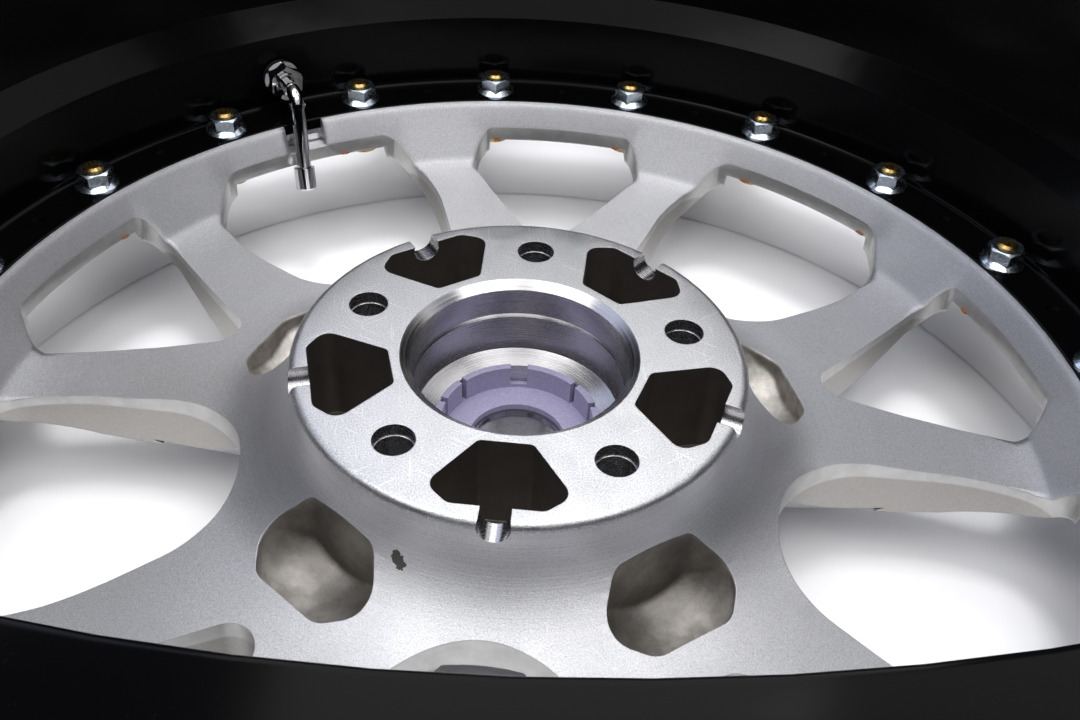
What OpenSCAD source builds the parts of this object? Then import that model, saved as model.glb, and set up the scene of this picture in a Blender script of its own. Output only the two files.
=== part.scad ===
// Three-piece car wheel, 18 x 8.5 inch, offset +38 mm, five 114.3 mm lug holes.
// A cast centre disc is bolted between two spun half rims by twenty flange bolts.
// The hub face is the plane z = 0 and +Z points to the car, so the wheel lies on its front lip.

/* [Rim] */
// Radius of the two bead seats, where the tyre sits
bead_seat_r = 231; // [228:0.5:234]
// Radius of the outer edge of both rim flanges
rim_flange_r = 248.5; // [246:0.5:252]
// Width between the two rim flanges (8.5 inch)
rim_width = 216; // [204:1:228]
// Distance from the hub face back to the rim's middle plane
wheel_offset = 38; // [34:1:42]
// Thickness of each rim flange
rim_flange_t = 12.5; // [10:0.5:14]
// Wall thickness of the spun half rims
rim_wall = 4; // [3.5:0.5:4.5]
// Inner radius of the well, between the two ramps
well_r = 214.5; // [213.5:0.5:216]
// Inner radius of the barrel and of the front lip
barrel_r = 226; // [224:0.5:226.5]
// Thickness of the rear half rim's mounting flange
rear_flange_t = 5; // [4.5:0.5:8]
// Thickness of the front half rim's mounting flange
front_flange_t = 5; // [4.5:0.5:8]

/* [Centre disc] */
// Radius of the disc's spigot, which centres both half rims
spigot_r = 195; // [194:0.25:195.5]
// Height of the rear end of the spigot
spigot_z = -11; // [-13:0.5:-9]
// Outer radius of the disc's mounting flange
disc_r = 213.5; // [212.5:0.25:213.5]
// Thickness of the disc's mounting flange
disc_flange_t = 7; // [6.5:0.5:11]
// Radius of the hub's side, below the rounded edge of the hub face
hub_r = 75.8; // [74:0.1:77]
// Height of the front of the spokes, near the hub
spoke_front_z = -58; // [-60:0.5:-57]

/* [Centre bore] */
// Radius of the bore that locates the wheel on the hub
bore_r = 36.5; // [35.75:0.25:38]
// Depth of the located part of the bore
bore_depth = 13; // [11:0.5:16]
// Radius of the relieved bore in front of it
relief_r = 35.6; // [34:0.1:35.7]
// Radius of the hole that holds the centre cap
cap_hole_r = 28.7; // [27:0.1:30]
// Height of the ledge between the relieved bore and the cap's hole
ledge_z = -28.8; // [-31:0.1:-27]

/* [Lug holes and pockets] */
// Diameter of the circle through the five lug holes
lug_circle_d = 114.3; // [112:0.1:116]
// Diameter of a lug hole at the hub face
lug_hole_d = 13.4; // [13:0.1:15]
// Depth of the wide mouth of a lug hole
lug_mouth_depth = 4.7; // [3:0.1:6]
// Diameter of a lug nut's well in the front
lug_well_d = 28; // [26:0.5:29]
// Height of the floor of the five pockets in the hub face
pad_pocket_z = -36; // [-38:0.5:-20]
// Diameter of the drain channel that leaves each pocket
drain_d = 10; // [6:0.5:11]
// Height of the floor of the five pockets in the spokes
spoke_pocket_z = -46; // [-48:0.5:-40]

/* [Windows] */
// Radius of the outer edge of all ten windows
window_out_r = 188.5; // [187:0.25:189]
// Distance of a wide window's inner end from the axis
wide_in = 93.8; // [92:0.2:98]
// Radius of a wide window's inner end
wide_end_r = 38.2; // [34:0.2:40]
// Half of a wide window's greatest width
wide_half = 47.8; // [44:0.2:48]
// Radius of a wide window's outer corners
wide_corner_r = 17; // [12:0.5:18]
// Distance of a narrow window's tip from the axis
narrow_in = 116.3; // [115:0.1:120]
// Radius of a narrow window's tip
narrow_tip_r = 9; // [7:0.25:10]
// Slope of a narrow window's sides from its middle line, in degrees
narrow_slope = 29.5; // [26:0.5:30]
// Radius of a narrow window's outer corners
narrow_corner_r = 9; // [7:0.25:12]

/* [Assembly bolts] */
// Number of bolts round the joint
bolt_count = 20; // [20:5:20]
// Radius of the circle through the bolts
bolt_circle_r = 204.3; // [204:0.1:204.6]
// Thread diameter of the bolts
bolt_d = 8; // [6:0.5:8]
// Width across the flats of the nuts and bolt heads
hex_af = 13; // [12:0.5:13]
// Diameter of the flange on each nut and bolt head
hex_flange_d = 17.4; // [16:0.2:17.6]
// Height of a nut
nut_h = 8; // [6:0.5:9]

/* [Valve] */
// Angle of the valve round the wheel, in degrees
valve_angle = 126.3; // [125.5:0.1:127]
// Height of the valve's hole in the rear half rim
valve_z = 3; // [2:0.5:6]
// Diameter of the valve's bent stem
stem_d = 6.4; // [6:0.1:7]
// Angle by which the stem leans in from the axis direction
stem_lean = 18; // [16:0.5:20]
// Length of the stem from its bend to its end
stem_len = 36; // [30:0.5:38]

/* [Hidden] */
$fn = 96;

// Rim planes, worked out from the width and the offset
rear_bead_z = wheel_offset + rim_width / 2;
front_bead_z = wheel_offset - rim_width / 2;
rear_z = rear_bead_z + rim_flange_t;
front_z = front_bead_z - rim_flange_t;
bead_seat_w = 21;
bead_rise = 1.8;
hump_r = bead_seat_r + 0.2;
flange_edge_r = 4.5;
flange_bend_r = 6.5;
lip_edge_r = 2;

// The stack at the joint: spigot end, rear flange, front flange, disc flange
joint_z = spigot_z - rear_flange_t;
disc_back_z = joint_z - front_flange_t;
disc_front_z = disc_back_z - disc_flange_t;
spigot_gap = 0.1;
well_outer_r = well_r + rim_wall;
barrel_outer_r = barrel_r + rim_wall - 0.4;
rear_ramp_z = [21, 31];
front_ramp_z = [disc_front_z + 0.5, disc_front_z - 7];

// The disc's back, from the hub face out to the ring that carries the spigot
ring_crease_r = 182;
ring_land_r = 192.5;
bolt_hole_d = bolt_d + 0.4;
dimple_d = 6;
dimple_depth = 0.8;
notch_w = 17.8;
notch_floor_z = -22;
notch_in_r = 186;
wide_side_r = 90;

// Centre cap
cap_gap = 0.15;
cap_wall = 2;
cap_top_z = -31;
cap_barb = 0.5;
cap_floor_z = -40.2;
cap_notch_angle = 94.5;
cap_notch_w = 6.2;
cap_slot_angle = 47.5;
cap_slot_w = 2.2;
cap_plate_r = 17;
cap_plate_depth = 4;
hub_front_z = -52;
cap_rim_r = 33;
cap_rim_t = 2.6;
cap_rim_seat_z = hub_front_z + cap_rim_t;

// Valve
valve_tilt = 6.5;
valve_hole_d = 11.4;
stem_bend_x = 194.8;
stem_bend_r = 7;
seal_t = 1.8;
washer_t = 1.2;
valve_nut_h = 6.6;
valve_shank_d = 10;
core_d = 3.6;
core_len = 19;
collar_t = 0.6;
valve_cap_r = 4.6;

// Where the flat inner seal meets the round wall of the well
seal_r = 7.6;
wall_chord_x = sqrt(well_r * well_r - seal_r * seal_r);
valve_seat_x = wall_chord_x - seal_t - washer_t;

// Distances between lug holes, windows and pockets round the wheel
fifth = 72;
first_lug = 90;
first_wide = first_lug + fifth / 2;
bolt_pitch = 360 / bolt_count;
first_bolt = first_lug + bolt_pitch / 2;
cut = 1;

// How far a chord may lie inside an arc that is drawn as points
arc_error = 0.03;

function polar(r, a) = [r * cos(a), r * sin(a)];

// Points of an arc from angle a0 to a1, both ends included
function arc(c, r, a0, a1) =
    let (n = max(1, ceil(abs(a1 - a0) / (2 * acos(1 - arc_error / r)))))
    [for (i = [0:n]) c + polar(r, a0 + (a1 - a0) * i / n)];

// Angle of the normal of the line that touches two circles on their left side
function touch_angle(c1, r1, c2, r2) =
    let (d = c2 - c1)
    atan2(d.y, d.x) + acos((r1 - r2) / norm(d));

function unit(v) = v / norm(v);

// Arc of radius r in the corner b between the points a and c
function corner_arc(a, b, c, r) =
    let (
        u = unit(a - b),
        w = unit(c - b),
        half = acos(u * w) / 2,
        centre = b + unit(u + w) * r / sin(half),
        start = b + u * r / tan(half) - centre,
        from = atan2(start.y, start.x),
        turn = -sign(cross(u, w)) * (180 - 2 * half)
    )
    arc(centre, r, from, from + turn);

// Outline with rounded corners, from a list of [x, y, radius]
function rounded(corners) =
    let (n = len(corners))
    [
        for (i = [0:n - 1])
        let (
            a = corners[(i + n - 1) % n],
            b = corners[i],
            c = corners[(i + 1) % n]
        )
        each b[2] == 0
            ? [[b.x, b.y]]
            : corner_arc([a.x, a.y], [b.x, b.y], [c.x, c.y], b[2])
    ];

// A list of points without its last one, for a stretch whose end starts the next stretch
function most(points) = [for (i = [0:len(points) - 2]) points[i]];

// Both halves of an outline whose upper half starts and ends on the X axis
function mirrored(half) =
    concat(half, [for (i = [len(half) - 2:-1:1]) [half[i].x, -half[i].y]]);

// Point of a cubic curve with the four control points p
function cubic(p, t) =
    p[0] * pow(1 - t, 3) + 3 * p[1] * t * pow(1 - t, 2) + 3 * p[2] * t * t * (1 - t) + p[3] * pow(t, 3);

module around(first, count) {
    for (i = [0:count - 1])
        rotate([0, 0, first + i * 360 / count]) children();
}

// Cylinder from height z0 to height z1
module rod(r, z0, z1) {
    translate([0, 0, z0]) cylinder(r = r, h = z1 - z0);
}

// Cone from radius r0 at height z0 to radius r1 at height z1
module taper(r0, z0, r1, z1) {
    translate([0, 0, z0]) cylinder(r1 = r0, r2 = r1, h = z1 - z0);
}

// Prism of an outline between two heights
module prism(outline, z0, z1) {
    translate([0, 0, z0]) linear_extrude(z1 - z0) polygon(outline);
}

// Wide window: round inner end, slightly bowed sides, rounded outer corners
function wide_window() =
    let (
        reach = window_out_r - wide_corner_r,
        a_corner = asin((wide_half - wide_corner_r) / reach),
        c_corner = polar(reach, a_corner),
        c_end = [wide_in + wide_end_r, 0],
        c_side = [c_corner.x, wide_half - wide_side_r],
        a_side = touch_angle(c_end, wide_end_r, c_side, wide_side_r)
    )
    mirrored(concat(
        arc(c_end, wide_end_r, 180, a_side),
        most(arc(c_side, wide_side_r, a_side, 90)),
        most(arc(c_corner, wide_corner_r, 90, a_corner)),
        arc([0, 0], window_out_r, a_corner, 0)
    ));

// Narrow window: round tip, straight sides that spread, rounded outer corners
function narrow_window() =
    let (
        normal = 90 + narrow_slope,
        c_tip = [narrow_in + narrow_tip_r, 0],
        side = c_tip * polar(1, normal) + narrow_tip_r,
        reach = window_out_r - narrow_corner_r,
        a_corner = narrow_slope + asin((side - narrow_corner_r) / reach),
        c_corner = polar(reach, a_corner)
    )
    mirrored(concat(
        arc(c_tip, narrow_tip_r, 180, normal),
        most(arc(c_corner, narrow_corner_r, normal, a_corner)),
        arc([0, 0], window_out_r, a_corner, 0)
    ));

// Halves of the two pocket outlines, as corners with their radii
pad_pocket_corners = [[42.8, 8.4, 2.5], [62.2, 21.6, 5], [68.9, 14.2, 4]];
spoke_pocket_corners = [[79.3, 14.2, 6], [91, 25.4, 9], [103.2, 13.5, 8]];

// The floor of a spoke pocket is a shallow bowl of this radius round the pocket's middle
pocket_bowl_r = 24;
pocket_middle = 91.3;

// Closed list of corners from those above the X axis
function both_sides(corners) =
    let (n = len(corners))
    concat(corners, [for (i = [n - 1:-1:0]) [corners[i].x, -corners[i].y, corners[i][2]]]);

// Cross-section of the disc as turned, before its windows and pockets are cut
hub_edge_r = 3;
hub_flare = [[hub_r, -5], [hub_r, -17], [90, -29.5], [104, -32.3]];
disc_section = concat(
    [[cap_hole_r, hub_front_z], [cap_hole_r, ledge_z - 2.7], [relief_r, ledge_z]],
    [[relief_r, -bore_depth - 1], [bore_r, -bore_depth], [bore_r, -2.6], [bore_r + 3.3, 0]],
    arc([hub_r - hub_edge_r, -hub_edge_r], hub_edge_r, 90, 0),
    [for (i = [0:10]) cubic(hub_flare, i / 10)],
    [[120, -34.4], [140, -36.3], [160, -37.1], [ring_crease_r - 3, -37.1], [ring_crease_r + 1, -35.2]],
    [[ring_land_r, spigot_z - 0.6], [ring_land_r + 0.8, spigot_z], [spigot_r - 0.6, spigot_z]],
    [[spigot_r, spigot_z - 0.6], [spigot_r, disc_back_z], [disc_r, disc_back_z], [disc_r, disc_front_z]],
    [[190.5, disc_front_z], [188, -34.5], [184, -43], [180, -47], [168, -51], [152, -56]],
    [[136, spoke_front_z], [92, spoke_front_z], [76, -55], [62, hub_front_z]]
);

module lug_hole() {
    seat_z = -15;
    translate([lug_circle_d / 2, 0, 0]) {
        rod(lug_hole_d / 2, -lug_mouth_depth, cut);
        rod(lug_hole_d / 2 - 0.3, seat_z, cut);
        taper(lug_well_d / 2 - 3, seat_z - 7, lug_hole_d / 2 - 0.3, seat_z);
        rod(lug_well_d / 2, spoke_front_z - cut, seat_z - 6);
    }
}

module drain_channel() {
    translate([60, 0, -2]) rotate([0, 90, 0]) cylinder(d = drain_d, h = 20);
}

module spoke_pocket() {
    intersection() {
        prism(rounded(both_sides(spoke_pocket_corners)), spoke_pocket_z, 0);
        translate([pocket_middle, 0, spoke_pocket_z + pocket_bowl_r]) sphere(r = pocket_bowl_r);
    }
}

module centre_disc() {
    color("silver")
    difference() {
        rotate_extrude($fn = 180) polygon(disc_section);
        around(first_wide, 5) prism(wide_window(), spoke_front_z - cut, 0);
        around(first_lug, 5) prism(narrow_window(), spoke_front_z - cut, 0);
        around(first_wide, 5) prism(rounded(both_sides(pad_pocket_corners)), pad_pocket_z, cut);
        around(first_lug, 5) spoke_pocket();
        around(first_wide, 5) drain_channel();
        around(first_lug, 5) lug_hole();
        around(first_bolt, bolt_count)
            translate([bolt_circle_r, 0, 0]) rod(bolt_hole_d / 2, disc_front_z - cut, disc_back_z + cut);
        rod(cap_rim_r + cap_gap, hub_front_z - cut, cap_rim_seat_z);
        rotate([0, 0, first_wide])
            translate([notch_in_r, -notch_w / 2, notch_floor_z]) cube([12, notch_w, 20]);
    }
}

// Cross-section of the rear half rim, from its mounting flange to its outer flange
rear_section = concat(
    [[spigot_r + spigot_gap, joint_z], [well_outer_r, joint_z], [well_outer_r, rear_ramp_z[0] + 1]],
    [[barrel_outer_r, rear_ramp_z[1] + 1], [barrel_outer_r, rear_bead_z - bead_seat_w - 12]],
    [[hump_r, rear_bead_z - bead_seat_w - 5], [hump_r, rear_bead_z - bead_seat_w - 2]],
    [[bead_seat_r - bead_rise, rear_bead_z - bead_seat_w + 1], [bead_seat_r, rear_bead_z - flange_bend_r]],
    arc([bead_seat_r + flange_bend_r, rear_bead_z - flange_bend_r], flange_bend_r, 180, 90),
    arc([rim_flange_r - flange_edge_r, rear_bead_z + flange_edge_r], flange_edge_r, -90, 0),
    arc([rim_flange_r - flange_edge_r, rear_z - flange_edge_r], flange_edge_r, 0, 90),
    arc([barrel_r + 6, rear_z - 3], 3, 90, 180),
    [[barrel_r, rear_z - 16], [barrel_r, rear_ramp_z[1]], [well_r, rear_ramp_z[0]]],
    arc([well_r - 2.5, spigot_z + 2.5], 2.5, 0, -90),
    [[spigot_r + spigot_gap + 0.5, spigot_z], [spigot_r + spigot_gap, spigot_z - 0.5]]
);

module rear_barrel() {
    color("#1b1b1d")
    difference() {
        rotate_extrude($fn = 180) polygon(rear_section);
        around(first_bolt, bolt_count)
            translate([bolt_circle_r, 0, 0]) rod(bolt_hole_d / 2, joint_z - cut, spigot_z + cut);
        around(first_lug, bolt_count)
            translate([bolt_circle_r, 0, 0]) rod(dimple_d / 2, spigot_z - dimple_depth, spigot_z + cut);
        on_valve_axis() rod_x(valve_hole_d / 2, well_r - 6, well_outer_r + 6);
    }
}

// Cross-section of the front half rim, from its mounting flange to the polished lip
front_section = concat(
    [[spigot_r + spigot_gap, disc_back_z], [disc_r, disc_back_z], [well_r, disc_back_z - 1]],
    [[well_r, front_ramp_z[0]], [barrel_r, front_ramp_z[1]], [barrel_r, front_z + lip_edge_r]],
    arc([barrel_r + lip_edge_r, front_z + lip_edge_r], lip_edge_r, 180, 270),
    arc([rim_flange_r - flange_edge_r, front_z + flange_edge_r], flange_edge_r, -90, 0),
    arc([rim_flange_r - flange_edge_r, front_bead_z - flange_edge_r], flange_edge_r, 0, 90),
    arc([bead_seat_r + flange_bend_r, front_bead_z + flange_bend_r], flange_bend_r, 270, 180),
    [[bead_seat_r - bead_rise, front_bead_z + bead_seat_w - 1], [hump_r, front_bead_z + bead_seat_w + 1]],
    [[hump_r, front_bead_z + bead_seat_w + 2.5]],
    [[barrel_outer_r - 0.6, front_ramp_z[1] + 1], [well_outer_r, front_ramp_z[0] + 1]],
    [[well_outer_r, joint_z], [spigot_r + spigot_gap, joint_z]]
);

module front_lip() {
    color("gainsboro")
    difference() {
        rotate_extrude($fn = 180) polygon(front_section);
        around(first_bolt, bolt_count)
            translate([bolt_circle_r, 0, 0]) rod(bolt_hole_d / 2, disc_back_z - cut, joint_z + cut);
    }
}

module sealant_bead() {
    color("sienna")
    rotate_extrude($fn = 180)
        polygon(arc([well_outer_r, joint_z], 2.6, 90, -90));
}

// Hexagon with its corners rounded off by a cone, from z0 up to z1
module hexagon(af, z0, z1) {
    intersection() {
        translate([0, 0, z0]) cylinder(d = af / cos(30), h = z1 - z0, $fn = 6);
        taper(af / 2 + (z1 - z0) * 1.6, z0, af / 2 - 0.4, z1);
    }
}

// Flange nut or bolt head that stands on the plane z = 0
module flanged_hex(h) {
    rod(hex_flange_d / 2, 0, 1.2);
    taper(hex_flange_d / 2, 1.2, hex_af / 2, 3);
    hexagon(hex_af, 0, h);
}

module assembly_bolts() {
    tip_z = spigot_z + nut_h + 1.5;
    color("khaki")
    around(first_bolt, bolt_count)
        translate([bolt_circle_r, 0, 0]) {
            rod(bolt_d / 2, disc_front_z - cut, tip_z - 1);
            taper(bolt_d / 2, tip_z - 1, bolt_d / 2 - 0.9, tip_z);
            translate([0, 0, disc_front_z]) mirror([0, 0, 1]) flanged_hex(nut_h - 1);
        }
}

module flange_nuts() {
    color("lightsteelblue")
    around(first_bolt, bolt_count)
        translate([bolt_circle_r, 0, spigot_z])
            difference() {
                flanged_hex(nut_h);
                rod(bolt_d / 2, -cut, nut_h + cut);
            }
}

// The valve's own frame: X points outwards through the rim wall, and the stem bends in its XZ plane
module on_valve_axis() {
    rotate([0, 0, valve_angle]) translate([0, 0, valve_z]) rotate([valve_tilt, 0, 0]) children();
}

// Cylinder along X from x0 to x1
module rod_x(r, x0, x1) {
    translate([x0, 0, 0]) rotate([0, 90, 0]) cylinder(r = r, h = x1 - x0);
}

// Where the stem starts after its bend, pointing along its own Z
module on_stem_axis() {
    reach = stem_bend_r * tan((90 - stem_lean) / 2);
    translate([stem_bend_x, 0, 0]) rotate([0, 180 + stem_lean, 0]) translate([0, 0, reach]) children();
}

module valve_body() {
    bend = 90 - stem_lean;
    reach = stem_bend_r * tan(bend / 2);
    color("silver")
    on_valve_axis()
    difference() {
        union() {
            rod_x(8, well_outer_r + seal_t, well_outer_r + seal_t + 3);
            rod_x(valve_shank_d / 2, valve_seat_x - valve_nut_h - 1, well_outer_r + seal_t + 1);
            rod_x(stem_d / 2, stem_bend_x + reach, valve_seat_x - valve_nut_h);
            translate([stem_bend_x + reach, 0, -stem_bend_r]) rotate([90, 0, 0])
                rotate_extrude(angle = bend, start = 90)
                    translate([stem_bend_r, 0]) circle(d = stem_d, $fn = 48);
            on_stem_axis() rod(stem_d / 2, 0, stem_len);
            on_stem_axis() rod(stem_d / 2 + collar_t, -1, 1);
            rod_x(stem_d / 2 + collar_t, stem_bend_x + reach - 1, stem_bend_x + reach + 1);
        }
        on_stem_axis() rod(core_d / 2, stem_len - core_len, stem_len + cut);
    }
}

module valve_outer_seal() {
    color("#202020")
    on_valve_axis()
    difference() {
        union() {
            rod_x(8, well_outer_r, well_outer_r + seal_t);
            rod_x(valve_hole_d / 2 - 0.1, well_r + 0.2, well_outer_r + seal_t / 2);
        }
        rod_x(valve_shank_d / 2, well_r - cut, well_outer_r + seal_t + cut);
    }
}

module valve_inner_seal() {
    color("#202020")
    on_valve_axis()
    difference() {
        rod_x(seal_r, valve_seat_x + washer_t, wall_chord_x);
        rod_x(valve_shank_d / 2, valve_seat_x, well_r + cut);
    }
}

module valve_washer() {
    color("silver")
    on_valve_axis()
    difference() {
        rod_x(8, valve_seat_x, valve_seat_x + washer_t);
        rod_x(valve_shank_d / 2, valve_seat_x - cut, valve_seat_x + washer_t + cut);
    }
}

module valve_nut() {
    color("silver")
    on_valve_axis()
    translate([valve_seat_x, 0, 0]) rotate([0, -90, 0])
    difference() {
        intersection() {
            cylinder(d = 14 / cos(30), h = valve_nut_h, $fn = 6);
            translate([0, 0, valve_nut_h / 2]) sphere(r = 8.2);
        }
        rod(valve_shank_d / 2, -cut, valve_nut_h + cut);
    }
}

module valve_core() {
    color("gold")
    on_valve_axis() on_stem_axis() {
        rod(core_d / 2, stem_len - core_len, stem_len - 1);
        rod(0.7, stem_len - 2, stem_len - 0.2);
    }
}

module valve_cap() {
    cap_len = 10;
    color("silver")
    on_valve_axis() on_stem_axis()
    difference() {
        union() {
            rod(valve_cap_r, stem_len - cap_len + 1.5, stem_len + 0.7);
            taper(valve_cap_r, stem_len + 0.7, valve_cap_r - 0.7, stem_len + 1.5);
        }
        rod(stem_d / 2, stem_len - cap_len, stem_len);
    }
}

module centre_cap() {
    body_r = cap_hole_r - cap_gap;
    inner_r = body_r - cap_wall;
    color("#c3bfd3")
    difference() {
        union() {
            rod(body_r, hub_front_z - 1, cap_top_z);
            taper(body_r, cap_top_z - 0.6, body_r + cap_barb, cap_top_z - 0.2);
            rod(body_r + cap_barb, cap_top_z - 0.2, cap_top_z);
            rod(cap_rim_r, hub_front_z - 1, cap_rim_seat_z);
            taper(cap_rim_r - 2, hub_front_z - 3, cap_rim_r, hub_front_z - 1);
        }
        rod(inner_r, cap_floor_z, cap_top_z + cut);
        rod(cap_plate_r, cap_floor_z - cap_plate_depth, cap_floor_z + cut);
        rod(cap_plate_r - 2.5, cap_floor_z - cap_plate_depth - 3, cap_floor_z);
        around(cap_notch_angle, 3)
            translate([inner_r - cut, -cap_notch_w / 2, cap_floor_z + 1.4]) cube([5, cap_notch_w, 12]);
        for (side = [-1, 1])
            around(cap_notch_angle + side * cap_slot_angle, 3)
                translate([inner_r - cut, -cap_slot_w / 2, cap_floor_z]) cube([5, cap_slot_w, 12]);
    }
}

module cap_plate() {
    seat_z = cap_floor_z - cap_plate_depth;
    color("silver")
    difference() {
        rod(cap_plate_r - 0.1, seat_z, seat_z + 1.8);
        rod(cap_plate_r - 1.4, seat_z + 0.8, seat_z + 2);
    }
}

centre_disc();
rear_barrel();
front_lip();
sealant_bead();
assembly_bolts();
flange_nuts();
valve_body();
valve_outer_seal();
valve_inner_seal();
valve_washer();
valve_nut();
valve_core();
valve_cap();
centre_cap();
cap_plate();
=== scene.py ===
# %% [markdown]
# A three-piece car wheel, seen from its back
#
# The wheel lies on its polished front lip, with the hub face up. A cast centre disc is bolted
# between two spun half rims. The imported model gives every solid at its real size, and this
# lesson gives each one the finish of the real surface: turned, blasted, polished, plated,
# moulded or coated. A wheel is drawn in millimetres and Blender works in metres, so one factor
# turns the lengths here to metres.

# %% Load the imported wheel
import math
import random

import bmesh
import bpy
from mathutils import Matrix, Vector


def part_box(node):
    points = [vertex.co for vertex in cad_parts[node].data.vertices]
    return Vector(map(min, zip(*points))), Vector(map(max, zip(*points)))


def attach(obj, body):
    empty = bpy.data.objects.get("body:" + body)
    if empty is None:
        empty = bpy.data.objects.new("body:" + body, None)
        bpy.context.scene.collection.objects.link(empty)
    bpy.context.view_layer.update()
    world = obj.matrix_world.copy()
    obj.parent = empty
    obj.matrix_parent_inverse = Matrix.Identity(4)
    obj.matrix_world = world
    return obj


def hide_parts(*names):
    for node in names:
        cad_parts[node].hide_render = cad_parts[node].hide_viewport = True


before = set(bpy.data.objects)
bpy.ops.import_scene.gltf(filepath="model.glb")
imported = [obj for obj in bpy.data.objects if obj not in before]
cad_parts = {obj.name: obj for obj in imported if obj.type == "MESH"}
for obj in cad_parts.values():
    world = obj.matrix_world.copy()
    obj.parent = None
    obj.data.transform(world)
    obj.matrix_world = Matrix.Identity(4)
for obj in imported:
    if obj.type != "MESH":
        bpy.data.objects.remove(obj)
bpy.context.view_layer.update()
MM = 0.001
print("nodes:", ", ".join(sorted(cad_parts)))

# %% [markdown]
# The photograph was taken from above the open back of the wheel, so near that the rear flange
# crosses the bottom of the picture. The camera stands at the same place in the wheel's own
# frame. A constraint could aim it, but it is also rolled a little, so its three axes are worked
# out from the place, the aim and the roll, and put into one matrix.

# %% The camera
CAMERA_AT = Vector((20.02, -274.93, 233.91)) * MM
CAMERA_AIM = Vector((6.85, -3.77, 0.0)) * MM
CAMERA_ROLL = math.radians(3.33)
CAMERA_LENS = 36.46
SENSOR_WIDTH = 36
NEAREST_SEEN = 10 * MM


def add_camera():
    data = bpy.data.cameras.new("camera")
    data.lens = CAMERA_LENS
    data.sensor_width = SENSOR_WIDTH
    data.clip_start = NEAREST_SEEN
    forward = (CAMERA_AIM - CAMERA_AT).normalized()
    right = forward.cross(Vector((0, 0, 1))).normalized()
    up = right.cross(forward)
    x_axis = right * math.cos(CAMERA_ROLL) + up * math.sin(CAMERA_ROLL)
    y_axis = up * math.cos(CAMERA_ROLL) - right * math.sin(CAMERA_ROLL)
    camera = bpy.data.objects.new("camera", data)
    turn = Matrix((x_axis, y_axis, -forward)).transposed().to_4x4()
    camera.matrix_world = Matrix.Translation(CAMERA_AT) @ turn
    bpy.context.scene.collection.objects.link(camera)
    bpy.context.scene.camera = camera
    return camera


add_camera()
print("camera height %.0f mm" % (CAMERA_AT.z / MM))

# %% [markdown]
# Colours are written as sRGB hex, as a paint chart gives them. Blender works in linear light,
# so one function converts them. A second function adds a shader node with its settings and its
# links, so that a finish reads as a recipe, one node to a line. Noise textures make nearly all
# the patterns. Their scale counts lumps per metre, so it is worked out from the lumps' real size.

# %% Colours and nodes
COLOURS = {"data_type": "RGBA"}
NOISE_SPAN = {"From_Min": 0.3, "From_Max": 0.7}
ROUNDED = {"samples": 6}


def tone(code):
    """Linear RGBA from an sRGB hex code."""
    parts = [int(code[i:i + 2], 16) / 255 for i in (1, 3, 5)]
    linear = [c / 12.92 if c <= 0.04045 else ((c + 0.055) / 1.055) ** 2.4 for c in parts]
    return (*linear, 1.0)


def add(mat, kind, settings=None, out=None, **sockets):
    """Adds a node to a material and gives one of its outputs.

    The settings are the node's own menus and fields. A socket goes by its label, with _ for a
    space, or by its number among those in use, as i1. A value that is a socket is linked and
    any other is set. The output is the first one in use, unless out names another.
    """
    item = mat.node_tree.nodes.new("ShaderNode" + kind)
    for name, value in (settings or {}).items():
        setattr(item, name, value)
    in_use = [socket for socket in item.inputs if socket.enabled]
    labels = [socket.name.replace(" ", "_") for socket in in_use]
    for name, value in sockets.items():
        socket = in_use[int(name[1:]) if name[1:].isdigit() else labels.index(name)]
        if isinstance(value, bpy.types.NodeSocket):
            mat.node_tree.links.new(value, socket)
        else:
            socket.default_value = value
    given = [socket for socket in item.outputs if socket.enabled and out in (None, socket.name)]
    return given[0] if given else None


def bare_material(name):
    """A new material without nodes, and the point on the object, in metres."""
    mat = bpy.data.materials.new(name)
    mat.use_nodes = True
    mat.node_tree.nodes.clear()
    return mat, add(mat, "TexCoord", out="Object")


def shaded(mat, **sockets):
    """Ends a material: the Principled shader with these sockets, and the output."""
    add(mat, "OutputMaterial", Surface=add(mat, "BsdfPrincipled", **sockets))
    return mat


def lumps(size_mm):
    """Scale of a noise whose lumps are about this wide."""
    return 1 / (size_mm * MM)


print("a noise with lumps of 0.5 mm has a scale of", lumps(0.5))

# %% [markdown]
# The hub face sits on the car's hub, so the casting was skimmed flat and bright there, and it is
# scuffed. Skimmed aluminium is a light grey metal that mirrors softly. A photograph of a scuffed
# plate could be laid over it, but noise is enough for so small a face. The open pits and the
# scratches are finer than a pixel on the real one, so they are drawn as coarse as they need to
# show. A scratch is a noise that is stretched about thirty times along one direction. A bevel
# node rounds the normal at sharp edges, as deburring does, so that they catch the light.

# %% Finish of the hub face
SCRATCHES = ((25, 1.3), (-40, 4.7), (80, 9.1))
STRETCH = 0.035


def scratches(mat, point):
    """Mask of fine straight scratches, with the direction and the shift of each pair."""
    total = 0.0
    for turn, shift in SCRATCHES:
        angles = (0, 0, math.radians(turn))
        spun = add(mat, "Mapping", Vector=point, Location=(shift, 0, 0), Rotation=angles)
        thin = add(mat, "VectorMath", {"operation": "MULTIPLY"}, i0=spun, i1=(STRETCH, 1.0, 0.0))
        line = add(mat, "TexNoise", Vector=thin, Scale=lumps(0.7), Detail=1.0, Roughness=0.4)
        crest = add(mat, "MapRange", Value=line, From_Min=0.70, From_Max=0.74, To_Max=0.5)
        total = add(mat, "Math", {"operation": "MAXIMUM"}, i0=crest, i1=total)
    return total


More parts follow.
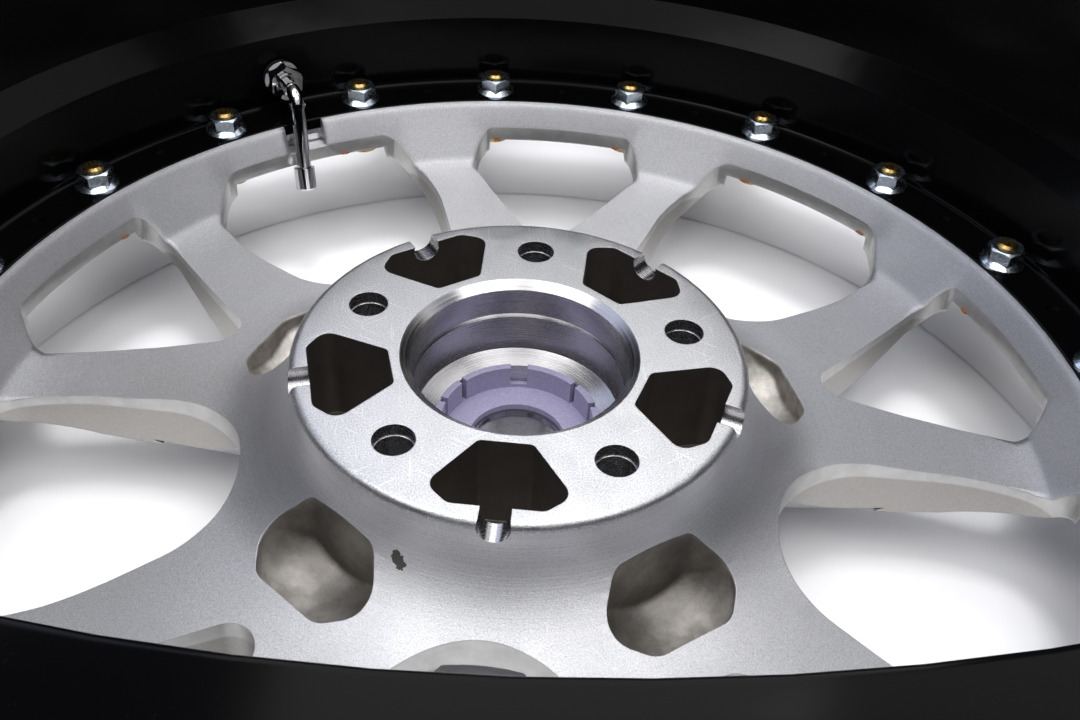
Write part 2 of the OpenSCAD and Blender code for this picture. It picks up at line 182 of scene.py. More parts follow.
def hub_face_metal():
    """Aluminium casting, skimmed and scuffed: bright, with open pits and fine scratches."""
    mat, point = bare_material("skimmed_cast_aluminium")
    pits = add(mat, "TexNoise", Vector=point, Scale=lumps(0.5), Detail=4.0, Roughness=0.7)
    broad = add(mat, "TexNoise", Vector=point, Scale=lumps(9.0), Detail=2.0, Roughness=0.6)
    shade = add(mat, "MapRange", Value=pits, From_Min=0.32, From_Max=0.6)
    metal = add(mat, "Mix", COLOURS, Factor=shade, A=tone("#9FA0A4"), B=tone("#DADADD"))
    metal = add(mat, "Mix", COLOURS, Factor=scratches(mat, point), A=metal, B=tone("#F4F4F4"))
    dull = add(mat, "MapRange", Value=broad, **NOISE_SPAN, To_Min=0.34, To_Max=0.46)
    edges = add(mat, "Bevel", ROUNDED, Radius=0.35 * MM)
    bumps = add(mat, "Bump", Height=pits, Distance=0.10 * MM, Normal=edges)
    return shaded(mat, Base_Color=metal, Metallic=1.0, Roughness=dull, Normal=bumps)


hub_face = hub_face_metal()
print("hub face:", hub_face.name)

# %% [markdown]
# The bore was turned on a lathe, which leaves fine grooves round the axis. An image of rings
# could be mapped on it, but grooves are rings of equal radius, so a noise that changes only with
# the distance from the axis and the height draws them everywhere. The grooves also stretch every
# highlight across themselves. That is the shader's anisotropy, with a tangent that runs round
# the Z axis. The real grooves are finer than the 0.5 mm drawn here. The lug holes and the drain
# channels are cut too, and so small that they can share this finish.

# %% Finish of the bore
ROUND_THE_AXIS = {"direction_type": "RADIAL", "axis": "Z"}
QUARTER_TURN = 0.25


def radius(mat, point):
    """Distance of the shaded point from the wheel's axis, in metres."""
    flat = add(mat, "VectorMath", {"operation": "MULTIPLY"}, i0=point, i1=(1.0, 1.0, 0.0))
    return add(mat, "VectorMath", {"operation": "LENGTH"}, i0=flat)


def rings(mat, point, pitch_mm, rough=0.35):
    """Turning marks, about pitch_mm apart."""
    height = add(mat, "SeparateXYZ", out="Z", Vector=point)
    place = add(mat, "CombineXYZ", X=radius(mat, point), Y=height, Z=0.0)
    return add(mat, "TexNoise", Vector=place, Scale=lumps(pitch_mm), Detail=2.0, Roughness=rough)


def turned(mat, amount):
    """The shader's sockets that stretch a highlight across the grooves by this amount."""
    tangent = add(mat, "Tangent", ROUND_THE_AXIS)
    return {"Anisotropic": amount, "Anisotropic_Rotation": QUARTER_TURN, "Tangent": tangent}


def bore_metal():
    """Aluminium cut on a lathe: rings round the axis, bright along and dull across them."""
    mat, point = bare_material("turned_bore_aluminium")
    marks = rings(mat, point, 0.5)
    shade = add(mat, "MapRange", Value=marks, **NOISE_SPAN)
    metal = add(mat, "Mix", COLOURS, Factor=shade, A=tone("#A9A7A9"), B=tone("#C4C2C4"))
    dull = add(mat, "MapRange", Value=marks, **NOISE_SPAN, To_Min=0.19, To_Max=0.32)
    edges = add(mat, "Bevel", ROUNDED, Radius=0.3 * MM)
    bumps = add(mat, "Bump", Height=marks, Distance=0.006 * MM, Normal=edges)
    return shaded(mat, Base_Color=metal, Metallic=1.0, Roughness=dull, Normal=bumps, **turned(mat, 0.5))


bore = bore_metal()
print("bore, lug holes and drain channels:", bore.name)

# %% [markdown]
# The rest of the back was turned and then blasted to a satin. The blast is what the eye sees on
# the spokes: a fine grain without direction. Nearer the hub the turning marks come through, so
# one ramp on the distance from the axis fades them out, and two more make the satin duller and
# widen the soft edge where the spokes meet the outer ring. The grain is drawn at 0.4 mm, coarser
# than real blasting grit, so that it shows. One chip on the flare, left of the nearest pocket,
# shows darker metal. It could be cut into the mesh, but it is so shallow that a mask with a
# ragged edge, which colours and sinks it, does as well.

# %% Finish of the back
CHIP_AT = Vector((-27.3, -76.5, -18.4)) * MM
CHIP_TURN = math.radians(-50)
CHIP_HALF = (3.1, 1.5, 3.0)
CHIP_DEPTH = 0.25
RAGGED = 0.28
RINGS_FADE = {"From_Min": 77 * MM, "From_Max": 96 * MM}
SATIN_GROWS = {"From_Min": 84 * MM, "From_Max": 112 * MM}
EDGES_WIDEN = {"From_Min": 170 * MM, "From_Max": 180 * MM}


def chip_mask(mat, point):
    """One where the casting is chipped: a ragged long spot on the flare."""
    away = add(mat, "VectorMath", {"operation": "SUBTRACT"}, i0=point, i1=CHIP_AT)
    spun = add(mat, "VectorRotate", {"rotation_type": "Z_AXIS"}, Vector=away, Angle=-CHIP_TURN)
    halves = tuple(1 / (half * MM) for half in CHIP_HALF)
    unit = add(mat, "VectorMath", {"operation": "MULTIPLY"}, i0=spun, i1=halves)
    far = add(mat, "VectorMath", {"operation": "LENGTH"}, i0=unit)
    wear = add(mat, "TexNoise", Vector=point, Scale=lumps(1.3), Detail=3.0, Roughness=0.6)
    uneven = add(mat, "MapRange", Value=wear, **NOISE_SPAN, To_Min=-RAGGED, To_Max=RAGGED)
    edge = add(mat, "Math", {"operation": "ADD"}, i0=far, i1=uneven)
    return add(mat, "MapRange", Value=edge, From_Min=0.95, From_Max=1.05, To_Min=1.0, To_Max=0.0)


def back_metal():
    """Turned and blasted aluminium: rings near the hub, a satin grain everywhere."""
    mat, point = bare_material("turned_and_blasted_aluminium")
    away = radius(mat, point)
    grit = add(mat, "TexNoise", Vector=point, Scale=lumps(0.42), Detail=3.0, Roughness=0.75)
    cloud = add(mat, "TexNoise", Vector=point, Scale=lumps(26.0), Detail=2.0, Roughness=0.6)
    marks = rings(mat, point, 0.45, 0.5)
    chip = chip_mask(mat, point)
    near_hub = add(mat, "MapRange", Value=away, **RINGS_FADE, To_Min=1.0, To_Max=0.22)

    shade = add(mat, "MapRange", Value=grit, **NOISE_SPAN)
    patches = add(mat, "MapRange", Value=cloud, **NOISE_SPAN, To_Max=0.3)
    lines = add(mat, "MapRange", Value=marks, **NOISE_SPAN, To_Max=0.7)
    lines = add(mat, "Math", {"operation": "MULTIPLY"}, i0=lines, i1=near_hub)
    metal = add(mat, "Mix", COLOURS, Factor=shade, A=tone("#A9A9AD"), B=tone("#E8E8EB"))
    metal = add(mat, "Mix", COLOURS, Factor=patches, A=metal, B=tone("#C8C8CD"))
    metal = add(mat, "Mix", COLOURS, Factor=lines, A=metal, B=tone("#E2E2E5"))
    metal = add(mat, "Mix", COLOURS, Factor=chip, A=metal, B=tone("#5C5957"))

    satin = add(mat, "MapRange", Value=away, **SATIN_GROWS, To_Min=0.38, To_Max=0.52)
    drift = add(mat, "MapRange", Value=cloud, **NOISE_SPAN, To_Min=-0.03, To_Max=0.03)
    dull = add(mat, "Math", {"operation": "ADD"}, i0=satin, i1=drift)

    rounding = add(mat, "MapRange", Value=away, **EDGES_WIDEN, To_Min=0.35 * MM, To_Max=4 * MM)
    edges = add(mat, "Bevel", ROUNDED, Radius=rounding)
    grooves = add(mat, "Math", {"operation": "MULTIPLY"}, i0=marks, i1=near_hub)
    bumps = add(mat, "Bump", Height=grooves, Distance=0.04 * MM, Normal=edges)
    bumps = add(mat, "Bump", Height=grit, Distance=0.08 * MM, Normal=bumps)
    bumps = add(mat, "Bump", Height=chip, Distance=-CHIP_DEPTH * MM, Normal=bumps)
    return shaded(mat, Base_Color=metal, Metallic=1.0, Roughness=dull, Normal=bumps, **turned(mat, 0.8))


back = back_metal()
print("back:", back.name)

# %% [markdown]
# The windows were cut clean for a few millimetres below the back, and their walls are as cast in
# front of that. Two materials could share the walls, but then the mesh would need an edge where
# they meet. One material that changes at a height needs none.

# %% Finish of the window walls
CUT_BAND_Z = -41
CUT_BLUR = 0.4
CUT_STEP = {"From_Min": (CUT_BAND_Z - CUT_BLUR) * MM, "From_Max": (CUT_BAND_Z + CUT_BLUR) * MM}


def window_wall_metal():
    """Cut clean below the back, as cast and a little duller in front of that."""
    mat, point = bare_material("cut_and_cast_aluminium")
    height = add(mat, "SeparateXYZ", out="Z", Vector=point)
    skin = add(mat, "TexNoise", Vector=point, Scale=lumps(1.2), Detail=4.0, Roughness=0.6)
    streak = add(mat, "TexNoise", Vector=point, Scale=lumps(6.0), Detail=2.0, Roughness=0.6)
    skin_shade = add(mat, "MapRange", Value=skin, **NOISE_SPAN)
    streak_shade = add(mat, "MapRange", Value=streak, **NOISE_SPAN)
    is_cut = add(mat, "MapRange", Value=height, **CUT_STEP)
    cast = add(mat, "Mix", COLOURS, Factor=skin_shade, A=tone("#A5A29E"), B=tone("#AEABA7"))
    cut = add(mat, "Mix", COLOURS, Factor=streak_shade, A=tone("#B9B8B6"), B=tone("#C8C7C6"))
    metal = add(mat, "Mix", COLOURS, Factor=is_cut, A=cast, B=cut)
    dull = add(mat, "MapRange", Value=is_cut, To_Min=0.40, To_Max=0.36)
    edges = add(mat, "Bevel", ROUNDED, Radius=0.6 * MM)
    bumps = add(mat, "Bump", Height=skin, Distance=0.006 * MM, Normal=edges)
    return shaded(mat, Base_Color=metal, Metallic=1.0, Roughness=dull, Normal=bumps)


window_wall = window_wall_metal()
print("window walls:", window_wall.name)

# %% [markdown]
# The pockets keep the skin of the mould, with release agent burnt on: dark, mottled and not
# quite bare metal, so the metallic value is a little under one. The pockets in the hub face are
# dark all over. Those in the spokes are lighter towards the rim, and their rounded edges need
# a wider soft edge. Both are one recipe with other colours, so one function makes both.

# %% Finishes of the pockets


def pocket_metal(name, dark, light, outer_tone, outer_from, outer_to, rounding):
    """Mould skin: dark and mottled, and lighter over a stretch of distance from the axis."""
    mat, point = bare_material(name)
    stretch = {"From_Min": outer_from * MM, "From_Max": outer_to * MM}
    skin = add(mat, "TexNoise", Vector=point, Scale=lumps(0.6), Detail=4.0, Roughness=0.7)
    stain = add(mat, "TexNoise", Vector=point, Scale=lumps(7.0), Detail=3.0, Roughness=0.6)
    shade = add(mat, "MapRange", Value=skin, From_Min=0.35, From_Max=0.65)
    # The skin turns lighter between two distances from the axis, in mottled spots.
    outward = add(mat, "MapRange", Value=radius(mat, point), **stretch, To_Min=0.25, To_Max=1.0)
    spots = add(mat, "MapRange", Value=stain, From_Min=0.4, From_Max=0.6, To_Min=0.6, To_Max=1.0)
    outward = add(mat, "Math", {"operation": "MULTIPLY"}, i0=outward, i1=spots)
    metal = add(mat, "Mix", COLOURS, Factor=shade, A=tone(dark), B=tone(light))
    metal = add(mat, "Mix", COLOURS, Factor=outward, A=metal, B=tone(outer_tone))
    dull = add(mat, "MapRange", Value=skin, **NOISE_SPAN, To_Min=0.38, To_Max=0.58)
    edges = add(mat, "Bevel", ROUNDED, Radius=rounding * MM)
    bumps = add(mat, "Bump", Height=skin, Distance=0.09 * MM, Normal=edges)
    return shaded(mat, Base_Color=metal, Metallic=0.9, Roughness=dull, Normal=bumps)


disc_finishes = {
    "hub_face": hub_face,
    "bore": bore,
    "back": back,
    "window_wall": window_wall,
    "pad_pocket": pocket_metal("dark_mould_skin", "#5C5753", "#7A746F", "#7A746F", 0, 1, 0.6),
    "spoke_pocket": pocket_metal("mould_skin_lighter_outward", "#4E4B48", "#6E6A66", "#D2CDC7", 87, 99, 3),
}
print(len(disc_finishes), "finishes for the disc")

# %% [markdown]
# The disc is one casting, and its solid comes as loose triangles, which can only be shaded flat.
# So a copy is merged into one skin that stands in for the node, and each edge is marked sharp or
# smooth by its angle. A modifier can smooth by angle too, but marks that are made once need no
# modifier on any piece.

# %% Merge a node into one skin
SHARP = math.radians(28)
MERGE_WITHIN = 0.002 * MM
SLIVER = 0.001 * MM


def mark_sharp(mesh):
    """Smooth shading that stops at edges steeper than SHARP."""
    shell = bmesh.new()
    shell.from_mesh(mesh)
    for face in shell.faces:
        face.smooth = True
    for edge in shell.edges:
        edge.smooth = len(edge.link_faces) == 2 and edge.calc_face_angle(0) < SHARP
    shell.to_mesh(mesh)
    shell.free()


def merged_copy(node, name):
    """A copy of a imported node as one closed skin, which can be shaded smooth."""
    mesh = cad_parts[node].data.copy()
    mesh.name = name
    shell = bmesh.new()
    shell.from_mesh(mesh)
    bmesh.ops.remove_doubles(shell, verts=shell.verts, dist=MERGE_WITHIN)
    bmesh.ops.dissolve_degenerate(shell, edges=shell.edges, dist=SLIVER)
    shell.to_mesh(mesh)
    shell.free()
    mark_sharp(mesh)
    mesh.materials.clear()
    piece = bpy.data.objects.new(name, mesh)
    bpy.context.scene.collection.objects.link(piece)
    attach(piece, "root")
    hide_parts(node)
    return piece


disc = merged_copy("centre_disc", "disc")
print("disc merged into", len(disc.data.vertices), "points")

# %% [markdown]
# Two forms of the casting's front show only through the windows, and the photograph has them a
# little differently from the solid. The window's outer wall ends 5 mm sooner, and at the inner
# end of each wide window the front slopes up from the hub, which leaves a low wall there. The
# first is only a move of an edge. The second could be drawn face by face, but a Boolean modifier
# cuts it with five wedges and is applied at once. Both stay inside the solid's box.

# %% Trim the front of the disc
FIFTH = math.radians(72)
LUG = math.radians(90)
WIDE = LUG + FIFTH / 2
OUTER_WALL_R, OUTER_WALL_WITHIN = 188.5, 0.15
OUTER_EDGE_Z = (-34, -30)
FLANGE_FRONT_Z = -28
SCOOP_R, SCOOP_Z = 93.8, -41
SCOOP_SLOPE = math.radians(30.5)
SCOOP_TOP, SCOOP_FOOT = 12, 38.8
SCOOP_DEPTH, SCOOP_REACH = 30, 25


def raise_outer_walls(piece):
    """Lifts the lower edge of the windows' outer walls to the front of the bolted flange."""
    low, high = OUTER_EDGE_Z
    moved = 0
    for vertex in piece.data.vertices:
        r = math.hypot(vertex.co.x, vertex.co.y) / MM
        if abs(r - OUTER_WALL_R) < OUTER_WALL_WITHIN and low < vertex.co.z / MM < high:
            vertex.co.z = FLANGE_FRONT_Z * MM
            moved += 1
    return moved


def scoop_cutters():
    """Five wedges with a flat top that slopes up from the hub to a wide window."""
    shell = bmesh.new()
    middle = Vector(((SCOOP_REACH - SCOOP_DEPTH) / 2, 0, -SCOOP_DEPTH / 2)) * MM
    size = Vector((SCOOP_REACH + SCOOP_DEPTH, 2 * SCOOP_TOP, SCOOP_DEPTH)) * MM
    block = Matrix.Translation(middle) @ Matrix.Diagonal((*size, 1))
    for number in range(5):
        corners = bmesh.ops.create_cube(shell, size=1, matrix=block)["verts"]
        foot = [corner for corner in corners if corner.co.z < middle.z]
        bmesh.ops.scale(shell, vec=(1, SCOOP_FOOT / SCOOP_TOP, 1), verts=foot)
        place = Matrix.Rotation(WIDE + number * FIFTH, 4, "Z")
        place @= Matrix.Translation(Vector((SCOOP_R, 0, SCOOP_Z)) * MM)
        place @= Matrix.Rotation(-SCOOP_SLOPE, 4, "Y")
        bmesh.ops.transform(shell, matrix=place, verts=corners)
    mesh = bpy.data.meshes.new("scoops")
    shell.to_mesh(mesh)
    shell.free()
    return bpy.data.objects.new("scoops", mesh)


def cut_away(piece, cutter):
    """Takes the cutter's shape out of the piece and throws the cutter away."""
    bpy.context.scene.collection.objects.link(cutter)
    change = piece.modifiers.new("cut", "BOOLEAN")
    change.object = cutter
    change.solver = "EXACT"
    changed = piece.evaluated_get(bpy.context.evaluated_depsgraph_get())
    piece.data = bpy.data.meshes.new_from_object(changed)
    piece.modifiers.clear()
    bpy.data.objects.remove(cutter)
    mark_sharp(piece.data)


print("edge points raised:", raise_outer_walls(disc))
cut_away(disc, scoop_cutters())
print("disc faces:", len(disc.data.polygons))

# %% [markdown]
# Each face of the disc takes the finish of the tool that made it. Painting the faces by hand
# would be lost when model.glb is made again, so the tool is told by where the face lies: its
# distance from the axis, its height, the way it looks, and its place along and across the
# direction of the nearest lug hole or wide window. A pocket's place is its start and end along
# that direction, its half width and its floor. The first test that holds decides.

# %% Share out the disc's finishes
BORE_R, BORE_END_Z = 40.5, -49
LUG_CIRCLE, LUG_HOLE_R = 57.15, 7.3
HUB_FACE_Z = -0.1
HUB_EDGE_R, HUB_EDGE_Z = 76, -3.1
DRAIN = (42, 80, 5.1, -7.1)
PAD_POCKET = (42, 69.2, 22.5, -37)
SPOKE_POCKET = (78.5, 104, 26, -47)
BOWL_AT, BOWL_Z, BOWL_R = 91.3, -22, 24
BOWL_WITHIN, WALL_BELOW = 0.6, 0.4
WINDOW_START, WINDOW_END = 92, 189
UPRIGHT, LEVEL, LOOKING_AT = 0.25, 0.95, 0.9
DRAIN_ALONG, DRAIN_UP = 0.2, 0.02
BACK = ((75.8, -8), (77.4, -12.2), (79.2, -15.7), (84.7, -22.1), (91.7, -27.4), (97.7, -30.4), (104, -32.3))
BACK_SLOPE = -0.1


def nearest(x, y, first):
    """The nearest of five directions that start at an angle, and the place along and across it."""
    angle = math.atan2(y, x)
    off = (angle - first + FIFTH / 2) % FIFTH - FIFTH / 2
    r = math.hypot(x, y)
    return angle - off, r * math.cos(off), r * math.sin(off)


def lies_in(pocket, along, across, z):
    """True for a place between a pocket's start and end, within its half width and depth."""
    start, end, half, floor_z = pocket
    return start < along < end and abs(across) < half and z > floor_z


def back_height(r):
    """Height of the turned back near the hub."""
    for (r0, z0), (r1, z1) in zip(BACK, BACK[1:]):
        if r <= r1:
            return z0 + (z1 - z0) * (r - r0) / (r1 - r0)
    return BACK[-1][1] + BACK_SLOPE * (r - BACK[-1][0])


def on_bowl(face, direction):
    """True for a face of the round bowl in a spoke pocket."""
    bowl = Vector((BOWL_AT * math.cos(direction), BOWL_AT * math.sin(direction), BOWL_Z))
    inward = bowl - face.center / MM
    off_bowl = abs(inward.length - BOWL_R)
    return off_bowl < BOWL_WITHIN and face.normal.dot(inward.normalized()) > LOOKING_AT


def disc_finish(face):
    """Name of the finish of one face of the disc."""
    x, y, z = face.center / MM
    r = math.hypot(x, y)
    up = face.normal.z
    wall = abs(up) < UPRIGHT
    lug, lug_along, lug_across = nearest(x, y, LUG)
    wide, wide_along, wide_across = nearest(x, y, WIDE)
    if r < BORE_R and z > BORE_END_Z:
        return "bore"
    if math.hypot(lug_along - LUG_CIRCLE, lug_across) < LUG_HOLE_R and z < HUB_FACE_Z:
        return "bore"
    if up > LEVEL and z > HUB_FACE_Z:
        return "hub_face"
    looks_along = face.normal.x * math.cos(wide) + face.normal.y * math.sin(wide)
    if lies_in(DRAIN, wide_along, wide_across, z) and abs(looks_along) < DRAIN_ALONG and up > DRAIN_UP:
        return "bore"
    if lies_in(PAD_POCKET, wide_along, wide_across, z) and z < HUB_FACE_Z:
        return "pad_pocket"
    if r < HUB_EDGE_R and z > HUB_EDGE_Z:
        return "hub_face"
    if lies_in(SPOKE_POCKET, lug_along, lug_across, z):
        if on_bowl(face, lug) or (wall and z < back_height(r) - WALL_BELOW):
            return "spoke_pocket"
    if wall and WINDOW_START < r < WINDOW_END:
        return "window_wall"
    return "back"


numbers = {name: number for number, name in enumerate(disc_finishes)}
for finish in disc_finishes.values():
    disc.data.materials.append(finish)
for polygon in disc.data.polygons:
    polygon.material_index = numbers[disc_finish(polygon)]
for name, number in numbers.items():
    print(name, sum(polygon.material_index == number for polygon in disc.data.polygons), "faces")

# %% [markdown]
# The rear half rim is spun from sheet and coated in gloss black. A black metal would tint what it
# mirrors, but a coating is a film of lacquer, so the metallic value is zero and the gloss comes
# from a low roughness. A lacquer's usual specular level is 0.5. The photograph's mirrors the
# studio far less, so the level was brought down to match. A soft ripple 14 mm wide keeps the
# reflections from looking computed, and a little dust greys the black.

# %% Gloss black coating


def black_coating():
    """Lacquer on spun aluminium: a deep black that mirrors weakly, with a little dust."""
    mat, point = bare_material("gloss_black_coating")
    ripple = add(mat, "TexNoise", Vector=point, Scale=lumps(14.0), Detail=1.0, Roughness=0.6)
    dust = add(mat, "TexNoise", Vector=point, Scale=lumps(0.7), Detail=2.0, Roughness=0.7)
    dusty = add(mat, "MapRange", Value=dust, From_Min=0.68, From_Max=0.78, To_Max=0.4)
    film = add(mat, "Mix", COLOURS, Factor=dusty, A=tone("#050506"), B=tone("#141415"))
    edges = add(mat, "Bevel", ROUNDED, Radius=0.5 * MM)
    bumps = add(mat, "Bump", Height=ripple, Distance=0.06 * MM, Normal=edges)
    return shaded(mat, Base_Color=film, Specular_IOR_Level=0.07, Roughness=0.13, Normal=bumps)


def dressed_copy(node, name, finish):
    """A merged copy of a node, in one finish."""
    piece = merged_copy(node, name)
    piece.data.materials.append(finish)
    return piece


barrel = dressed_copy("rear_barrel", "barrel", black_coating())
print("rear half rim faces:", len(barrel.data.polygons))

# %% [markdown]
# The front half rim is spun too, then polished to a mirror. A perfect mirror looks like glass, so
# faint rings from the polishing wheel, about 1.4 mm apart, vary its roughness and its normal by a
# trace.

# %% Mirror polish


def polished_metal():
    """Aluminium polished to a mirror: only faint rings are left from the polishing wheel."""
    mat, point = bare_material("mirror_polished_aluminium")
    marks = rings(mat, point, 1.4)
    gloss = add(mat, "MapRange", Value=marks, **NOISE_SPAN, To_Min=0.05, To_Max=0.12)
    bumps = add(mat, "Bump", Height=marks, Distance=0.003 * MM)
    return shaded(mat, Base_Color=tone("#EDEDEE"), Metallic=1.0, Roughness=gloss, Normal=bumps)


lip = dressed_copy("front_lip", "lip", polished_metal())
print("front half rim faces:", len(lip.data.polygons))

# %% [markdown]
# The photograph shows the rear lip's inner edge as nearly sharp: the barrel runs straight up to
# it. The solid has a wider rounding there. A new edge could be bevelled, but the rounding's
# points are all there, so they are drawn in and up towards the corner, which leaves the rounding
# less than half as wide. They stay inside the solid's box.

# %% Sharpen the rear lip's inner edge
EDGE_KEEP = 0.4
EDGE_R, ROUNDING_R, ROUNDING_END_R = 226 * MM, 229 * MM, 232.2 * MM
LIP_DEPTH = 15 * MM


def sharpen_edge(piece):
    """Draws the rounding of the lip towards its corner, and gives the number of points moved."""
    corner_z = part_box("rear_barrel")[1].z
    moved = 0
    for vertex in piece.data.vertices:
        r = math.hypot(vertex.co.x, vertex.co.y)
        if vertex.co.z > corner_z - LIP_DEPTH and r < ROUNDING_END_R:
            scale = (EDGE_R + (r - ROUNDING_R) * EDGE_KEEP) / r
            vertex.co.x *= scale
            vertex.co.y *= scale
            vertex.co.z = corner_z - (corner_z - vertex.co.z) * EDGE_KEEP
            moved += 1
    piece.data.update()
    return moved


print("edge points drawn in:", sharpen_edge(barrel))

# %% [markdown]
# The fasteners are plated steel and the valve is plated brass. Zinc with a blue passivation is a
# cool silver, yellow chromate on the bolt ends is a thin gold, and chrome is nearly a mirror. One
# recipe serves them all, and the bare brass and aluminium too, because each is a metal whose
# colour and gloss drift a little from place to place. One flat colour would look like paint.

# %% Platings and bare small metals


def plated_metal(name, dark, light, low, high):
    """Smooth metal: its colour drifts from dark to light and its roughness from low to high."""
    mat, point = bare_material(name)
    cloud = add(mat, "TexNoise", Vector=point, Scale=lumps(1.2), Detail=3.0, Roughness=0.6)
    shade = add(mat, "MapRange", Value=cloud, **NOISE_SPAN)
    metal = add(mat, "Mix", COLOURS, Factor=shade, A=tone(dark), B=tone(light))
    dull = add(mat, "MapRange", Value=cloud, **NOISE_SPAN, To_Min=low, To_Max=high)
    return shaded(mat, Base_Color=metal, Metallic=1.0, Roughness=dull)


zinc = plated_metal("blue_zinc_plate", "#A9B6C4", "#D3DCE6", 0.16, 0.30)
chromate = plated_metal("yellow_chromate_plate", "#8F7038", "#C9AE72", 0.24, 0.38)
chrome = plated_metal("chrome_plate", "#C9C9CB", "#D9D9DB", 0.04, 0.09)
brass = plated_metal("turned_brass", "#B08A45", "#CFAE6C", 0.25, 0.35)
bright = plated_metal("pressed_bright_aluminium", "#84828A", "#9B99A1", 0.14, 0.22)
print("small metals:", ", ".join(mat.name for mat in (zinc, chromate, chrome, brass, bright)))

# %% [markdown]
# The seals are moulded rubber, the joint sealant is a paste that cured to rubber, and the centre
# cap is moulded plastic. None is a metal. Each has a fine skin, from its mould or its cure, which
# breaks the highlight up, and the sealant's is the deepest. One recipe with other colours, gloss
# and depth makes all three.

# %% Moulded and cured surfaces


def moulded(name, dark, light, low, high, depth_mm):
    """Rubber or plastic with a fine skin that is depth_mm deep."""
    mat, point = bare_material(name)
    skin = add(mat, "TexNoise", Vector=point, Scale=lumps(0.8), Detail=3.0, Roughness=0.6)
    shade = add(mat, "MapRange", Value=skin, **NOISE_SPAN)
    colour = add(mat, "Mix", COLOURS, Factor=shade, A=tone(dark), B=tone(light))
    dull = add(mat, "MapRange", Value=skin, **NOISE_SPAN, To_Min=low, To_Max=high)
    bumps = add(mat, "Bump", Height=skin, Distance=depth_mm * MM)
    return shaded(mat, Base_Color=colour, Roughness=dull, Normal=bumps)


rubber = moulded("moulded_rubber", "#0B0B0B", "#161616", 0.6, 0.8, 0.01)
sealant = moulded("cured_sealant", "#84461A", "#A8662C", 0.3, 0.5, 0.05)
plastic = moulded("moulded_lilac_plastic", "#948FAD", "#ABA6C2", 0.32, 0.42, 0.01)
print("moulded and cured:", ", ".join(mat.name for mat in (rubber, sealant, plastic)))

# %% [markdown]
# Twelve nodes are left, and each wears one finish. Each could be dressed in lines of its own, but
# a table keeps them side by side: the node, the name of the piece that stands in for it, its
# material slot and its finish.

# %% Dress the small parts
small_parts = [
    ("flange_nuts", "nuts", "zinc_steel", zinc),
    ("assembly_bolts", "bolts", "bolt_steel", chromate),
    ("valve_body", "valve_stem", "valve_chrome", chrome),
    ("valve_nut", "valve_foot_nut", "valve_chrome", chrome),
    ("valve_washer", "valve_foot_washer", "valve_chrome", chrome),
    ("valve_cap", "valve_end_cap", "valve_chrome", chrome),
    ("valve_core", "valve_cartridge", "valve_brass", brass),
    ("valve_outer_seal", "valve_grommet", "seal_rubber", rubber),
    ("valve_inner_seal", "valve_gasket", "seal_rubber", rubber),
    ("sealant_bead", "joint_sealant", "sealant", sealant),
    ("centre_cap", "hub_cap", "cap_plastic", plastic),
    ("cap_plate", "hub_cap_plate", "cap_metal", bright),
]
for node, name, slot, finish in small_parts:
    dressed_copy(node, name, finish)
print(len(small_parts), "small parts dressed")

# %% [markdown]
# The joint was sealed from outside, and a little sealant was squeezed through. Its orange-brown
# specks hang on the lower edge of the windows' outer walls. Sculpted blobs would be more than
# they need at one or two millimetres, so each is a ball that is flattened against the wall, and
# random draws from a fixed start make it uneven in the same way each time.

# %% Specks of sealant
SPECK_ANGLES = (98.9, 81.7, 154.3, 25.5, 120.9, 62.2, 44.1)
SPECK_R, SPECK_Z = 188.3, -27.6
SPECK_THICK = 0.55
SPECK_LONG = (1.6, 2.6)
SPECK_HIGH = (0.5, 0.8)
SPECK_UNEVEN = 0.12


def add_specks():
    draw = random.Random(4)
    shell = bmesh.new()
    for angle in SPECK_ANGLES:
        length = draw.uniform(*SPECK_LONG)
        height = draw.uniform(*SPECK_HIGH)
        place = Matrix.Rotation(math.radians(angle), 4, "Z")
        place @= Matrix.Translation(Vector((SPECK_R, 0, SPECK_Z)) * MM)
        place @= Matrix.Diagonal((SPECK_THICK, length, height, 1))
        ball = bmesh.ops.create_icosphere(shell, subdivisions=3, radius=MM, matrix=place)
        for vertex in ball["verts"]:
            vertex.co += Vector(draw.uniform(-SPECK_UNEVEN, SPECK_UNEVEN) for _ in range(3)) * MM
    for face in shell.faces:
        face.smooth = True
    mesh = bpy.data.meshes.new("sealant_specks")
    shell.to_mesh(mesh)
    shell.free()
    mesh.materials.append(sealant)
    specks = bpy.data.objects.new("sealant_specks", mesh)
    bpy.context.scene.collection.objects.link(specks)
    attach(specks, "root")
    return specks


print("sealant specks:", len(SPECK_ANGLES), "with", len(add_specks().data.polygons), "faces")

# %% [markdown]
# The wheel lies on pale cloth. A weave could be drawn on it, but a plain floor keeps the eye on
# the wheel, so it is one dull sheet, a hair below the lip so that the two don't share a surface.

# %% Floor
FLOOR_REACH = 3.0
FLOOR_GAP = 0.02 * MM


def add_floor():
    shell = bmesh.new()
    bmesh.ops.create_grid(shell, x_segments=1, y_segments=1, size=FLOOR_REACH)
    mesh = bpy.data.meshes.new("floor")
    shell.to_mesh(mesh)
    shell.free()
    mat, _ = bare_material("pale_cloth")
    mesh.materials.append(shaded(mat, Base_Color=tone("#EBEBED"), Roughness=0.9))
    floor = bpy.data.objects.new("floor", mesh)
    floor.location.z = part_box("front_lip")[0].z - FLOOR_GAP
    bpy.context.scene.collection.objects.link(floor)
    return floor


floor = add_floor()
print("floor %.1f mm below the hub face" % (-floor.location.z / MM))

# %% [markdown]
# The light is a studio's. Polished and turned metal shows what stands round it, so one strong
# lamp would be one hard spot. Twelve square soft boxes on a dome of 1.5 m make a broad bright sky
# with dark gaps instead. Each row gives a box's direction and height in degrees, its side in
# metres, its power in watts and its colour.

# %% Soft boxes round the wheel
DOME = 1.5
COOL, PLAIN = "#DCE5FF", "#FFFFFF"


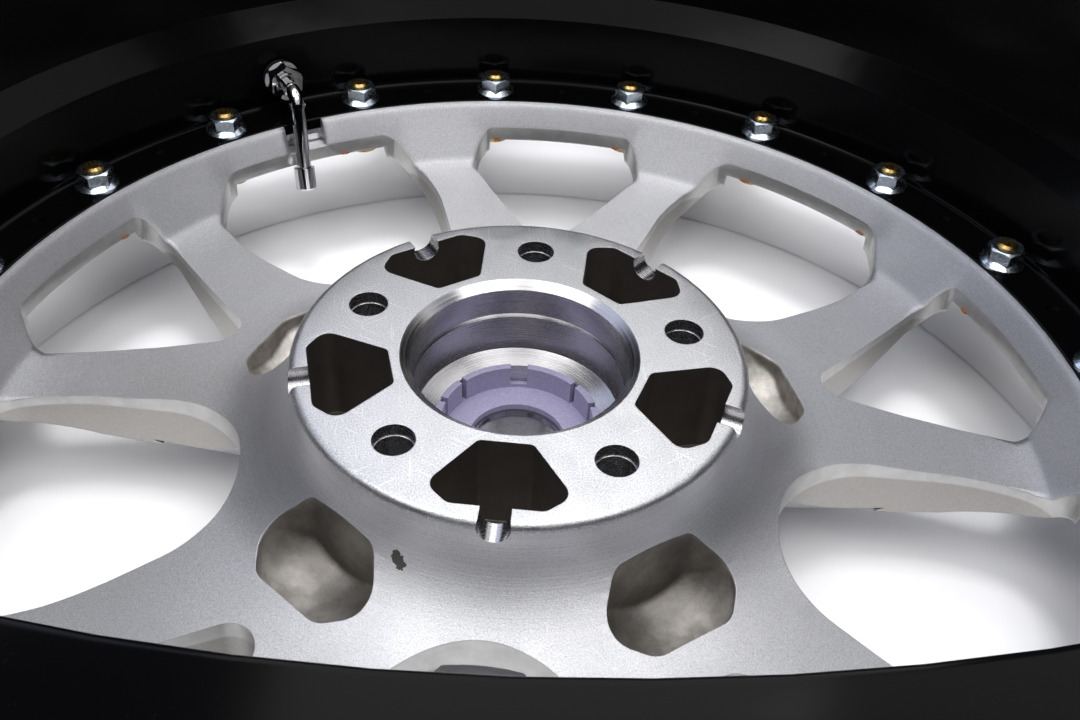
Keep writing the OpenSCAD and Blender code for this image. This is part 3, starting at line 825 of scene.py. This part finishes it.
def on_dome(azimuth, elevation):
    """A place on the dome, by two angles in degrees."""
    turn, rise = math.radians(azimuth), math.radians(elevation)
    flat = DOME * math.cos(rise)
    return Vector((flat * math.cos(turn), flat * math.sin(turn), DOME * math.sin(rise)))


def add_softbox(name, azimuth, elevation, side, watts, colour):
    """A square lamp on the dome that looks at the hub."""
    data = bpy.data.lights.new(name, "AREA")
    data.shape = "SQUARE"
    data.size = side
    data.energy = watts
    data.color = tone(colour)[:3]
    lamp = bpy.data.objects.new(name, data)
    lamp.location = on_dome(azimuth, elevation)
    lamp.rotation_euler = (-lamp.location).to_track_quat("-Z", "Y").to_euler()
    bpy.context.scene.collection.objects.link(lamp)
    return lamp


soft_boxes = [
    ("top", 90, 90, 0.75, 3.0, PLAIN),
    ("front_left", 210, 62, 0.75, 8.5, PLAIN),
    ("front_right", 330, 62, 0.75, 7.5, PLAIN),
    ("far_side", 90, 62, 0.75, 5.0, PLAIN),
    ("far_right", 40, 50, 0.75, 2.4, PLAIN),
    ("near_side", 270, 62, 0.75, 3.0, PLAIN),
    ("low_near", 270, 33, 0.95, 2.2, PLAIN),
    ("low_near_right", 315, 33, 0.95, 1.8, PLAIN),
    ("low_left", 180, 33, 0.95, 4.0, COOL),
    ("low_far_left", 135, 33, 0.95, 4.5, COOL),
    ("low_right", 0, 33, 0.95, 0.8, COOL),
    ("low_far", 90, 33, 0.95, 5.2, PLAIN),
]
for row in soft_boxes:
    add_softbox(*row)
print(len(soft_boxes), "soft boxes")

# %% [markdown]
# The wheel keeps most of that light away from the cloth inside it, where the photograph's is
# bright. Stronger lamps would burn the metal out, so three more light the floor alone, by light
# linking. The world adds a faint cool fill. The standard view transform shows the colours as
# they were chosen.

# %% Light on the cloth, and the world
cloth_boxes = [
    ("cloth_top", 90, 86, 0.35, 9.5, PLAIN),
    ("cloth_right", 0, 55, 0.6, 2, PLAIN),
    ("cloth_near", 270, 55, 0.6, 6, PLAIN),
]


def light_only(lamp, thing):
    """The lamp lights one thing. All else still casts its shadow."""
    group = bpy.data.collections.new(lamp.name + " receivers")
    group.objects.link(thing)
    lamp.light_linking.receiver_collection = group


def add_world(colour, strength):
    world = bpy.data.worlds.new("studio")
    world.use_nodes = True
    back_light = world.node_tree.nodes["Background"]
    back_light.inputs["Color"].default_value = tone(colour)
    back_light.inputs["Strength"].default_value = strength
    bpy.context.scene.world = world


for row in cloth_boxes:
    light_only(add_softbox(*row), floor)
add_world("#E6EBF5", 0.05)
bpy.context.scene.view_settings.view_transform = "Standard"
print(len(cloth_boxes), "lamps for the cloth alone")
